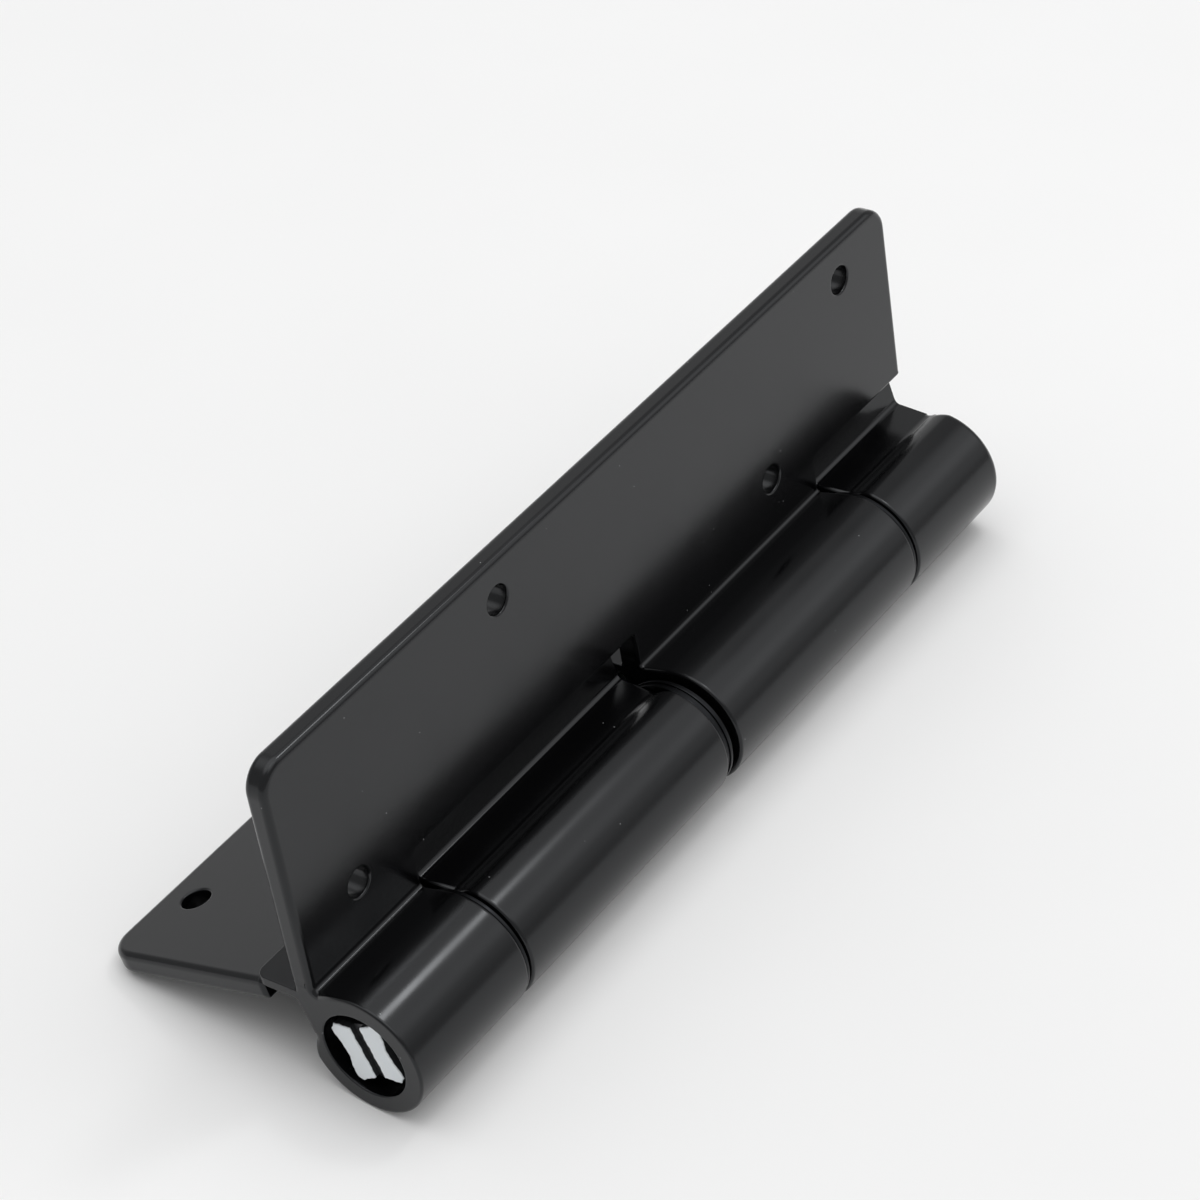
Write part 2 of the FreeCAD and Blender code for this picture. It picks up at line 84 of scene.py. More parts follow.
# Metres within which points are merged, and degrees from which an edge is shaded sharp.
MERGE_DISTANCE = 1e-7
SHARP_ANGLE = 50.0
# Octaves of the noise patterns.
SOFT_NOISE, FINE_NOISE, FINEST_NOISE = 2.0, 3.0, 4.0
# Sockets of a colour Mix node: factor, both colours and the result.
FACTOR, LOW_COLOUR, HIGH_COLOUR, MIXED = 0, 6, 7, 2


class Side(Enum):
    """The two leaves, by the thing that each is screwed to."""

    GATE = "gate_leaf"
    POST = "post_leaf"


class End(Enum):
    """The two ends of the hinge."""

    NEAR = "near"
    FAR = "far"


def linear(hex_colour: str) -> tuple[float, float, float, float]:
    """Turn an sRGB hex colour into linear red, green, blue and full alpha, by the sRGB curve.

    Args:
        hex_colour: colour as "#rrggbb".

    Returns:
        Linear colour with alpha 1.
    """
    coded = np.array([int(hex_colour[i:i + 2], 16) for i in (1, 3, 5)]) / 255
    light = np.where(coded <= 0.04045, coded / 12.92, ((coded + 0.055) / 1.055) ** 2.4)
    return (*light.tolist(), 1.0)


def add_node(tree: Tree, kind: str, inputs: dict[Any, Any] | None = None, **settings: Any) -> bpy.types.Node:
    """Add one node with its settings, values and links.

    Args:
        tree: node tree to add to.
        kind: Blender's name of the shader node's type, without that prefix.
        inputs: value or source socket for each input, by name or number.
        settings: properties of the node itself.

    Returns:
        The new node.
    """
    node = tree.nodes.new("ShaderNode" + kind)
    for name, value in settings.items():
        setattr(node, name, value)
    for name, value in (inputs or {}).items():
        if isinstance(value, Socket):
            tree.links.new(value, node.inputs[name])
        else:
            node.inputs[name].default_value = value
    return node


def per_metre(size_mm: float) -> float:
    """Scale of a pattern on Object coordinates whose features are size_mm wide."""
    return 1 / (size_mm * MM)


@dataclass(frozen=True)
class Finish:
    """A surface finish; each kind says what its shader is fed with."""

    name: str

    def surface(self, tree: Tree, place: Socket) -> Inputs:
        """Inputs of the shader for this finish, from the Object coordinates.

        Args:
            tree: node tree of the material.
            place: socket with the Object coordinates.

        Returns:
            Value or source socket for each input of the shader.
        """
        raise NotImplementedError

    def material(self) -> bpy.types.Material:
        """Make the material once and give it to every later caller.

        Returns:
            The finished material.
        """
        made = bpy.data.materials.get(self.name)
        if made is not None:
            return made
        made = bpy.data.materials.new(self.name)
        made.use_nodes = True
        tree = made.node_tree
        tree.nodes.clear()
        place = add_node(tree, "TexCoord").outputs["Object"]
        shader = add_node(tree, "BsdfPrincipled", self.surface(tree, place))
        add_node(tree, "OutputMaterial", {"Surface": shader.outputs["BSDF"]})
        return made


@dataclass(frozen=True)
class PowderCoat(Finish):
    """Black polyester powder coat, sprayed and baked on extruded aluminium.

    To the eye it is a deep semi-gloss black with a faint orange peel, a little uneven in gloss, and a few
    pale specks of dust.
    """

    name: str = "black_powder_coat_on_aluminium"
    colour: str = "#070708"
    dust: str = "#8b8d8e"
    gloss: Pair = (0.17, 0.23)
    peel_mm: float = 1.6
    peel_depth_mm: float = 0.0008
    peel_roughness: float = 0.45
    patch_mm: float = 16.0
    patch_range: Pair = (0.3, 0.7)
    dust_spacing_mm: float = 4.5
    dust_radius_mm: float = 0.15
    dust_core: float = 0.4
    index: float = 1.45
    sheen: str = "#f8fbff"

    def surface(self, tree: Tree, place: Socket) -> Inputs:
        """Peel as bump, patches in the roughness, and specks in the colour.

        Args:
            tree: node tree of the material.
            place: socket with the Object coordinates.

        Returns:
            Value or source socket for each input of the shader.
        """
        peel = add_node(tree, "TexNoise",
                        {"Vector": place, "Scale": per_metre(self.peel_mm), "Detail": SOFT_NOISE,
                         "Roughness": self.peel_roughness})
        bump = add_node(tree, "Bump",
                        {"Height": peel.outputs["Fac"], "Strength": 1.0, "Distance": self.peel_depth_mm * MM})
        patch = add_node(tree, "TexNoise",
                         {"Vector": place, "Scale": per_metre(self.patch_mm), "Detail": FINE_NOISE})
        rough = add_node(tree, "MapRange",
                         {"Value": patch.outputs["Fac"],
                          "From Min": self.patch_range[0], "From Max": self.patch_range[1],
                          "To Min": self.gloss[0], "To Max": self.gloss[1]})
        cell = add_node(tree, "TexVoronoi",
                        {"Vector": place, "Scale": per_metre(self.dust_spacing_mm)})
        reach = self.dust_radius_mm / self.dust_spacing_mm
        speck = add_node(tree, "MapRange",
                         {"Value": cell.outputs["Distance"], "From Min": reach,
                          "From Max": self.dust_core * reach, "To Min": 0.0, "To Max": 1.0})
        colour = add_node(tree, "Mix", data_type="RGBA",
                          inputs={FACTOR: speck.outputs["Result"], LOW_COLOUR: linear(self.colour),
                                  HIGH_COLOUR: linear(self.dust)})
        return {"Base Color": colour.outputs[MIXED], "Roughness": rough.outputs["Result"],
                "Normal": bump.outputs["Normal"], "IOR": self.index, "Specular Tint": linear(self.sheen)}


@dataclass(frozen=True)
class MarkedSteel(Finish):
    """Black enamelled turned steel whose outermost lands were rolled with white paint as a mark.

    To the eye the lands are an even, cool white with slightly ragged edges, and all the rest is black.
    A lighter band painted at the depth of the slot's floor is painted light: it stands for the light that
    reaches that floor, and is not a change in the enamel.
    """

    name: str = "black_enamel_steel_marked_white"
    white: str = "#e1e6e9"
    # Lighter tone of the slot floor: painted light for the light that reaches it, not thinner enamel.
    lit_slot_grey: str = "#2c2d2f"
    black: str = "#111213"
    land_mm: float = 92.1
    # Depth at which the painted-light band of the slot floor starts.
    lit_slot_mm: float = 90.9
    ragged_mm: float = 0.7
    ragged_reach_mm: float = 0.2
    border_mm: float = 0.02
    mark_mm: float = 0.3
    mark_depth_mm: float = 0.003
    gloss: Pair = (0.4, 0.55)
    index: float = 1.5

    def surface(self, tree: Tree, place: Socket) -> Inputs:
        """White beyond a place along the hinge axis, with noise on that border; then a lighter band of
        painted light at the slot's floor, then black.

        Args:
            tree: node tree of the material.
            place: socket with the Object coordinates.

        Returns:
            Value or source socket for each input of the shader.
        """
        along = add_node(tree, "SeparateXYZ", {"Vector": place}).outputs["X"]
        distance = add_node(tree, "Math", {0: along}, operation="ABSOLUTE").outputs[0]
        waver = add_node(tree, "TexNoise",
                         {"Vector": place, "Scale": per_metre(self.ragged_mm), "Detail": FINE_NOISE})
        reach, border = self.ragged_reach_mm * MM, self.border_mm * MM
        edge = add_node(tree, "Math", {0: waver.outputs["Fac"], 1: reach, 2: distance},
                        operation="MULTIPLY_ADD").outputs[0]
        colour = linear(self.black)
        # The first step paints the slot floor's band lighter than the black enamel, as painted light; the
        # second paints the white lands.
        for start_mm, paint in ((self.lit_slot_mm, self.lit_slot_grey), (self.land_mm, self.white)):
            start = start_mm * MM + 0.5 * reach
            cover = add_node(tree, "MapRange",
                             {"Value": edge, "From Min": start - border, "From Max": start + border})
            colour = add_node(tree, "Mix", data_type="RGBA",
                              inputs={FACTOR: cover.outputs["Result"], LOW_COLOUR: colour,
                                      HIGH_COLOUR: linear(paint)}).outputs[MIXED]
        marks = add_node(tree, "TexNoise",
                         {"Vector": place, "Scale": per_metre(self.mark_mm), "Detail": SOFT_NOISE})
        rough = add_node(tree, "MapRange",
                         {"Value": marks.outputs["Fac"], "To Min": self.gloss[0], "To Max": self.gloss[1]})
        bump = add_node(tree, "Bump",
                        {"Height": marks.outputs["Fac"], "Strength": 1.0,
                         "Distance": self.mark_depth_mm * MM})
        return {"Base Color": colour, "Roughness": rough.outputs["Result"], "Normal": bump.outputs["Normal"],
                "IOR": self.index}


@dataclass(frozen=True)
class GrainedFinish(Finish):
    """A plain finish in which one fine pattern moves colour, gloss and height together.

    The size of the pattern is given along the hinge axis and across it.
    """

    colour_low: str
    colour_high: str
    gloss: Pair
    grain_mm: Pair
    depth_mm: float
    octaves: float = FINE_NOISE
    metallic: float = 0.0
    index: float = 1.5

    def surface(self, tree: Tree, place: Socket) -> Inputs:
        """Noise in colour, roughness and bump.

        Args:
            tree: node tree of the material.
            place: socket with the Object coordinates.

        Returns:
            Value or source socket for each input of the shader.
        """
        along, across = (per_metre(size) for size in self.grain_mm)
        drawn = add_node(tree, "Mapping", {"Vector": place, "Scale": (along, across, across)})
        grain = add_node(tree, "TexNoise",
                         {"Vector": drawn.outputs["Vector"], "Scale": 1.0, "Detail": self.octaves})
        colour = add_node(tree, "Mix", data_type="RGBA",
                          inputs={FACTOR: grain.outputs["Fac"], LOW_COLOUR: linear(self.colour_low),
                                  HIGH_COLOUR: linear(self.colour_high)})
        rough = add_node(tree, "MapRange",
                         {"Value": grain.outputs["Fac"], "To Min": self.gloss[0], "To Max": self.gloss[1]})
        bump = add_node(tree, "Bump",
                        {"Height": grain.outputs["Fac"], "Strength": 1.0, "Distance": self.depth_mm * MM})
        return {"Base Color": colour.outputs[MIXED], "Metallic": self.metallic, "IOR": self.index,
                "Roughness": rough.outputs["Result"], "Normal": bump.outputs["Normal"]}


@dataclass(frozen=True)
class PaleTable(Finish):
    """Matte laminated table top: an even, almost white sheet with the faintest mottle."""

    name: str = "pale_matte_laminate"
    colour: str = "#f3f3f3"
    colour_deep: str = "#f0f0f0"
    mottle_mm: float = 60.0
    roughness: float = 0.85
    specular: float = 0.1

    def surface(self, tree: Tree, place: Socket) -> Inputs:
        """Mottle in the colour only.

        Args:
            tree: node tree of the material.
            place: socket with the Object coordinates.

        Returns:
            Value or source socket for each input of the shader.
        """
        mottle = add_node(tree, "TexNoise",
                          {"Vector": place, "Scale": per_metre(self.mottle_mm), "Detail": SOFT_NOISE})
        colour = add_node(tree, "Mix", data_type="RGBA",
                          inputs={FACTOR: mottle.outputs["Fac"], LOW_COLOUR: linear(self.colour_deep),
                                  HIGH_COLOUR: linear(self.colour)})
        return {"Base Color": colour.outputs[MIXED], "Roughness": self.roughness,
                "Specular IOR Level": self.specular}


COAT = PowderCoat()
MARKED_STEEL = MarkedSteel()
# Turned steel with a bright zinc plate: pale grey, with fine streaks round the axis in its gloss.
ZINC = GrainedFinish("bright_zinc_plated_steel", "#9da1a7", "#b8bbc0", (0.28, 0.42), (0.5, 9.0), 0.002,
                     FINEST_NOISE, metallic=1.0)
# Punched and chemically blackened steel: the same streaks, nearly black and a little glossier.
BLACK_STEEL = replace(ZINC, name="blackened_washer_steel", colour_low="#222325", colour_high="#2b2c2e",
                      gloss=(0.26, 0.36))
# Drawn wire, hardened in oil: the same streaks, a dull dark grey.
SPRING_WIRE = replace(ZINC, name="oil_tempered_spring_wire", colour_low="#57585c", colour_high="#6d6e72",
                      gloss=(0.3, 0.45))
# Moulded self-lubricating polymer: a dull dark grey with a fine grain.
POLYMER = GrainedFinish("moulded_bearing_polymer", "#1f2022", "#2a2b2d", (0.42, 0.58), (0.4, 0.4), 0.004,
                        index=1.52)
TABLE = PaleTable()


def unit(angle: float) -> Array:
    """Unit step (cos, sin) at an angle in degrees."""
    turn = math.radians(angle)
    return np.array([math.cos(turn), math.sin(turn)])


def arc(centre: Sequence[float], radius: float, start: float, end: float, step: float = ROUND_STEP) -> Array:
    """Round stretch of an outline: centre + radius (cos t, sin t), t even from start to end.

    Args:
        centre: centre of the circle.
        radius: its radius.
        start: first angle in degrees.
        end: last angle in degrees, which is left out.
        step: about how many degrees apart the points are.

    Returns:
        Points, one row each.
    """
    count = max(2, round(abs(end - start) / step))
    t = np.radians(np.linspace(start, end, count, endpoint=False))
    return np.array(centre, float) + radius * np.column_stack((np.cos(t), np.sin(t)))


def circle(radius: float, centre: Sequence[float] = (0.0, 0.0), step: float = CIRCLE_STEP) -> Array:
    """Full circle, counter-clockwise."""
    return arc(centre, radius, 0.0, 360.0, step)


def arc_through(a: Array, b: Array, c: Array, count: int) -> Array:
    """Round stretch from a through b to c, on the one circle that the three points share.

    Args:
        a: first point.
        b: point on the way.
        c: last point, which is left out.
        count: number of points.

    Returns:
        Points, one row each.
    """
    sides = 2 * np.array([b - a, c - a])
    centre = np.linalg.solve(sides, np.array([b @ b - a @ a, c @ c - a @ a]))
    first, middle, last = (math.atan2(*(p - centre)[::-1]) for p in (a, b, c))
    turn = (last - first) % math.tau
    if (middle - first) % math.tau > turn:
        turn -= math.tau
    t = first + turn * np.arange(count) / count
    return centre + np.linalg.norm(a - centre) * np.column_stack((np.cos(t), np.sin(t)))


def straight(a: Sequence[float], b: Sequence[float]) -> Array:
    """Straight stretch a + t (b - a), with a support point just inside each end if there is room.

    Args:
        a: first point.
        b: last point, which is left out.

    Returns:
        Points, one row each.
    """
    a, b = np.array(a, float), np.array(b, float)
    near = SUPPORT / np.linalg.norm(b - a)
    t = np.array([0.0, near, 1 - near]) if near < SUPPORT_SHARE else np.array([0.0])
    return a + t[:, None] * (b - a)


def joined(parts: Sequence[tuple[Array, float, float]]) -> tuple[Array, Array]:
    """Join the stretches of an outline, with a value that runs evenly along each.

    Args:
        parts: points, first value and last value of each stretch.

    Returns:
        All points, one row each, and the value at each of them.
    """
    values = [np.linspace(first, last, len(points)) for points, first, last in parts]
    return np.concatenate([points for points, _, _ in parts]), np.concatenate(values)


@dataclass(frozen=True)
class Corner:
    """Corner of an outline: its place, the value before and after it, and how it is rounded."""

    x: float
    y: float
    before: float
    after: float
    radius: float = 0.0
    step: float = CORNER_STEP


def rounded(corners: Sequence[Corner]) -> tuple[Array, Array]:
    """Loop of straight stretches from corner to corner; a corner with a radius is square and gets an arc.

    The arc's centre stands one radius before the corner and one radius along the next stretch.

    Args:
        corners: corners in order.

    Returns:
        All points, one row each, and the value at each of them.
    """
    places = np.array([(corner.x, corner.y) for corner in corners], float)
    radius = np.array([corner.radius for corner in corners])[:, None]
    ahead = np.roll(places, -1, axis=0) - places
    ahead /= np.linalg.norm(ahead, axis=1)[:, None]
    behind = np.roll(ahead, 1, axis=0)
    enter, leave = places - radius * behind, places + radius * ahead
    first = np.degrees(np.arctan2(-ahead[:, 1], -ahead[:, 0]))
    turn = 90 * np.sign(behind[:, 0] * ahead[:, 1] - behind[:, 1] * ahead[:, 0])
    parts = []
    for i, corner in enumerate(corners):
        if corner.radius:
            centre = enter[i] + corner.radius * ahead[i]
            bow = arc(centre, corner.radius, first[i], first[i] + turn[i], corner.step)
            parts.append((bow, corner.before, corner.after))
        following = (i + 1) % len(corners)
        parts.append((straight(leave[i], enter[following]), corner.after, corners[following].before))
    return joined(parts)


def outward(path: Array) -> Array:
    """Outward step at each point of a counter-clockwise loop.

    It is the mean of the normals of the two edges that meet there, stretched so that a move along it
    shifts both edges by the same distance.

    Args:
        path: points of the loop.

    Returns:
        One step for each point, for a shift of 1.
    """
    edge = np.roll(path, -1, axis=0) - path
    normal = np.column_stack((edge[:, 1], -edge[:, 0])) / np.linalg.norm(edge, axis=1)[:, None]
    before = np.roll(normal, 1, axis=0)
    return (before + normal) / (1 + np.sum(before * normal, axis=1))[:, None]


def ragged(path: Array, step: float, reach: float) -> Array:
    """Resample a loop in even steps and let it waver out and in.

    At the fraction t of the way round, the shift is reach (sin 9T + 0.7 sin 23T) / 1.7 with T = 2 pi t.

    Args:
        path: points of the loop, counter-clockwise.
        step: distance between the new points.
        reach: largest shift.

    Returns:
        New points, one row each.
    """
    closed = np.vstack((path, path[:1]))
    gone = np.concatenate(([0.0], np.cumsum(np.linalg.norm(np.diff(closed, axis=0), axis=1))))
    places = np.linspace(0, gone[-1], round(gone[-1] / step), endpoint=False)
    even = np.column_stack([np.interp(places, gone, column) for column in closed.T])
    turn = math.tau * places / gone[-1]
    shift = reach * (np.sin(9 * turn) + 0.7 * np.sin(23 * turn)) / 1.7
    return even + shift[:, None] * outward(even)


@dataclass(frozen=True)
class Outline:
    """A closed, counter-clockwise loop with the radius of its quarter round at each of its points."""

    path: Array
    near_rim: Array
    far_rim: Array

    @staticmethod
    def of(path: Array, near: float | Array, far: float | Array | None = None) -> Outline:
        """Outline with the same radius all round, or with one for each point."""
        ones = np.ones(len(path))
        return Outline(path, near * ones, (near if far is None else far) * ones)

    def rows(self, depth: float, inward: float, between: Array) -> Array:
        """Rows of the prism's side as (across, across, depth).

        A quarter round of radius e lies at depth e (1 - cos t) and is moved inwards by e (1 - sin t).
        A support row stands beside it on either side, so that flats stay flat.

        Args:
            depth: length of the prism.
            inward: 1 where the body is inside the loop, -1 where the loop is a hole.
            between: depths of further rows along the side.

        Returns:
            Points as rows x columns x 3.
        """
        t = np.linspace(0, math.pi / 2, RIM_STEPS + 1)[:, None]
        ends = []
        for rim in (self.near_rim, self.far_rim):
            shift = np.vstack((rim + SUPPORT, rim * (1 - np.sin(t)), 0 * rim))
            level = np.vstack((0 * rim, rim * (1 - np.cos(t)), rim + SUPPORT))
            ends.append((shift, level))
        (near_shift, near_level), (far_shift, far_level) = ends
        middle = np.ones(len(self.path)) * np.asarray(between, float)[:, None]
        shift = np.vstack((near_shift, 0 * middle, far_shift[::-1]))
        level = np.vstack((near_level, middle, depth - far_level[::-1]))
        flat = self.path[None] - inward * shift[:, :, None] * outward(self.path)[None]
        return np.concatenate((flat, level[:, :, None]), axis=2)


@dataclass(frozen=True)
class Lay:
    """Where a prism's plane and depth lie in its piece's drawing frame."""

    origin: Triple
    first: Triple
    second: Triple
    depth: Triple

    def put(self, points: Array) -> Array:
        """Origin plus each coordinate times its own direction."""
        return np.array(self.origin) + points @ np.array([self.first, self.second, self.depth])

    @staticmethod
    def along_axis(start: float) -> Lay:
        """Prism that runs along the hinge axis from a place on it."""
        return Lay((start, 0, 0), (0, 1, 0), (0, 0, 1), (1, 0, 0))


class Shape:
    """Points and faces of one piece, gathered surface by surface."""

    def __init__(self) -> None:
        """Start with nothing."""
        self.points: list[Array] = []
        self.faces: list[list[int]] = []
        self.size = 0

    def grid(self, rows: Array, skip: Array | None = None) -> Array:
        """Add a closed band: neighbouring rows are joined by four-sided faces, the last column to the first.

        Args:
            rows: points as rows x columns x 3.
            skip: true for each face to leave out, as (rows - 1) x columns.

        Returns:
            Number of each point in the shape, as rows x columns.
        """
        index = self.size + np.arange(rows.shape[0] * rows.shape[1]).reshape(rows.shape[:2])
        beside = np.roll(index, -1, axis=1)
        quads = np.stack((index[:-1], beside[:-1], beside[1:], index[1:]), axis=-1)
        self.faces += quads[np.ones(quads.shape[:2], bool) if skip is None else ~skip].tolist()
        self.points.append(rows.reshape(-1, 3))
        self.size += index.size
        return index

    def fill(self, *loops: Array) -> None:
        """Close a flat face between an outer loop and the holes in it.

        Args:
            loops: numbers of the points of the outer loop, then of each hole.
        """
        points = np.concatenate(self.points)
        chain = np.concatenate(loops)
        triangles = tessellate_polygon([points[loop].tolist() for loop in loops])
        self.faces += chain[np.array(triangles)].tolist()

    def prism(self, outline: Outline, lay: Lay, depth: float, holes: Sequence[Outline] = (),
              between: Sequence[float] = (), skip: Array | None = None) -> None:
        """Add a closed rounded prism with through holes.

        Args:
            outline: loop of the body.
            lay: place and directions of the prism.
            depth: length of the prism.
            holes: loops of the holes.
            between: depths of further rows along the side.
            skip: faces of the side to leave out.
        """
        side = self.grid(lay.put(outline.rows(depth, 1.0, np.array(between))), skip)
        walls = [self.grid(lay.put(hole.rows(depth, -1.0, np.array([])))) for hole in holes]
        self.fill(side[0], *(wall[0] for wall in walls))
        self.fill(side[-1], *(wall[-1] for wall in walls))

    def made(self, name: str, seat: Array, finish: Finish) -> bpy.types.Object:
        """Turn the shape into an object at the origin with its place in its mesh.

        Args:
            name: name of the piece.
            seat: 4 x 4 matrix from the drawing frame in millimetres to the model in metres.
            finish: finish of the whole piece.

        Returns:
            The new object.
        """
        points = np.concatenate(self.points) @ seat[:3, :3].T + seat[:3, 3]
        mesh = bpy.data.meshes.new(name)
        mesh.from_pydata(points.tolist(), [], self.faces)
        work = bmesh.new()
        work.from_mesh(mesh)
        bmesh.ops.remove_doubles(work, verts=work.verts, dist=MERGE_DISTANCE)
        bmesh.ops.recalc_face_normals(work, faces=work.faces)
        work.to_mesh(mesh)
        work.free()
        mesh.shade_smooth()
        mesh.set_sharp_from_angle(angle=math.radians(SHARP_ANGLE))
        mesh.materials.append(finish.material())
        piece = bpy.data.objects.new(name, mesh)
        bpy.context.scene.collection.objects.link(piece)
        LOG.info("%s: %d faces", name, len(mesh.polygons))
        return piece


@dataclass(frozen=True)
class HingeFrame:
    """Where the hinge axis lies and how far the leaves are turned about it."""

    axis: Triple
    length: float = 186.4
    gate_angle: float = 82.5458
    half_angle: float = 30.7976

    def seat(self, turn: float, end: End) -> Array:
        """Matrix from a drawing frame about the axis, in millimetres, to the model in metres.

        Args:
            turn: turn about the axis in degrees.
            end: near as drawn, or far, half a turn about the line halfway between the leaves.

        Returns:
            4 x 4 matrix.
        """
        between = (0.0, math.cos(math.radians(self.half_angle)), math.sin(math.radians(self.half_angle)))
        flip = Matrix.Rotation(math.pi, 4, between) if end is End.FAR else Matrix.Identity(4)
        about = Matrix.Rotation(math.radians(turn), 4, "X")
        middle = Matrix.Translation((-self.length / 2, 0.0, 0.0))
        return np.array(Matrix.Scale(MM, 4) @ Matrix.Translation(self.axis) @ flip @ about @ middle)


@dataclass
class Leaf:
    """One leaf: plate with notches and screw holes, two knuckles with necks, and two locating lips.

    The drawing frame has x along the axis, p along the plate and q from the mounting side to the knuckles.
    """

    hinge: HingeFrame
    side: Side
    lock_angle: float
    end_rim: float
    lip_reach: float
    spans: Pairs = ((0.0, 30.0), (95.2, 155.2))
    knuckle_radius: float = 12.0
    bore_radius: float = 8.5
    plate_front: float = 8.6
    plate_back: float = 13.0
    plate_reach: float = 57.0
    plate_corner: float = 5.5
    plate_corner_step: float = 4.0
    plate_rim: float = 1.2
    notch_edge: float = 18.0
    notch_rim: float = 0.6
    notch_corner: float = 0.6
    notch_tip_corner: float = 0.9
    notch_tip_step: float = 10.0
    plate_root: float = 8.9
    hidden_share: float = 1.3
    hidden_slope: float = 1.0
    knuckle_rim: float = 0.6
    bore_rim: float = 0.3
    bore_step: float = 4.0
    neck_corner: float = 10.4
    neck_fillet: float = 0.8
    root_depth: float = 2.0
    root_start: float = 0.8
    root_sink: float = 0.06
    lip_face: float = 7.6
    lip_back: float = 9.65
    lip_root: float = 13.7
    lip_corner: float = 2.0
    lip_rim: float = 0.25
    lip_tip_rim: float = 0.9
    lip_inner_fillet: float = 0.4
    lip_overlap: float = 0.7
    lip_sink: Pair = (0.5, 0.9)
    groove_start: float = 246.0
    groove_rim: float = 1.4
    groove_cup: float = 0.55
    foot_rim: float = 0.45
    groove_side: Pair = (-2.6, -11.15)
    groove_floor: Pairs = ((-0.83, -10.77), (-0.1, -10.68), (0.73, -10.8))
    groove_end: Pairs = ((6.5, -12.45), (7.2, -12.76))
    bend_points: int = 8
    floor_points: int = 14
    screw_radius: float = 2.75
    screw_rim: float = 0.4
    screw_places: Pairs = ((16.0, 22.2), (141.2, 22.2), (61.8, 49.1), (169.8, 49.1))
    lock_x: float = 10.5
    lock_radius: float = 2.55
    lock_rim: float = 0.3
    lock_window: float = 4.2
    lock_depth: float = 3.2
    lock_draw_rows: int = 4

    def plate_outline(self) -> Outline:
        """Plan of the plate in x and p, with the radius of its edge at each point.

        Returns:
            Outline that starts on the inner edge under the first knuckle.
        """
        (_, first_end), (second_start, second_end) = self.spans
        length, step = self.hinge.length, HIDDEN_STEP
        low, high, edge = self.plate_root, self.plate_reach, self.notch_edge
        r, notch, rim = self.notch_corner, self.notch_rim, self.plate_rim
        tab_end, tab_start, tab_stop = first_end - step, second_start + step, second_end - step
        hidden = self.hidden_share * self.neck_corner
        return Outline.of(*rounded((
            Corner(step, low, rim, notch),
            Corner(tab_end, low, notch, notch),
            Corner(tab_end, edge, notch, notch, r),
            Corner(tab_start, edge, notch, notch, r),
            Corner(tab_start, low, notch, notch),
            Corner(tab_stop, low, notch, notch),
            Corner(tab_stop, edge, notch, notch, r),
            Corner(length, edge, notch, rim, self.notch_tip_corner, self.notch_tip_step),
            Corner(length, high, rim, rim, self.plate_corner, self.plate_corner_step),
            Corner(0, high, rim, rim, self.plate_corner, self.plate_corner_step),
            Corner(0, hidden, rim, rim),
            Corner(step, hidden - self.hidden_slope, rim, rim))))

    def neck(self) -> tuple[float, Array, Array]:
        """Straight flank of the neck, tangent to the ring, and the fillet in its corner with the plate.

        The fillet leaves both sides of the corner at its radius over tan h, and its middle stands at its
        radius times (1 / sin h - 1) from the corner, with h half the corner's angle.

        Returns:
            Angle of the flank's end on the ring in degrees, that point, and the fillet's first, middle and
            last point, from the plate to the flank.
        """
        corner = np.array([self.neck_corner, -self.plate_front])
        turn = math.acos(self.knuckle_radius / math.hypot(*corner)) + math.atan2(corner[1], corner[0])
        angle = math.degrees(turn)
        tangent = self.knuckle_radius * unit(angle)
        flank = (tangent - corner) / np.linalg.norm(tangent - corner)
        along = np.array([1.0, 0.0])
        half = math.acos(flank @ along) / 2
        setback = self.neck_fillet / math.tan(half)
        bisector = (flank + along) / np.linalg.norm(flank + along)
        middle = corner + bisector * self.neck_fillet * (1 / math.sin(half) - 1)
        return angle, tangent, np.array([corner + along * setback, middle, corner + flank * setback])

    def section(self) -> tuple[Array, Array, Array, int]:
        """Outline of a knuckle, its neck and the roots that sink into the plate and the lip, in p and q.

        Returns:
            Points, how much each belongs to the plate (0 on the ring, 1 at the root), the largest rim it
            has room for, and the number of the point where the lock hole's window starts.
        """
        radius, front, back = self.knuckle_radius, self.plate_front, self.plate_back
        flank_angle, flank_end, fillet = self.neck()
        lip, lip_back, inner, low = self.lip_face, self.lip_back, self.lip_inner_fillet, -self.lip_root
        shallow, deep = (low - sunk for sunk in self.lip_sink)
        root, begin, sink = self.neck_corner + self.root_depth, self.root_start, self.root_sink
        ring_end = radius * unit(self.groove_start)
        side, floor, foot = (np.array(p) for p in (self.groove_side, self.groove_floor, self.groove_end))
        bend = self.bend_points

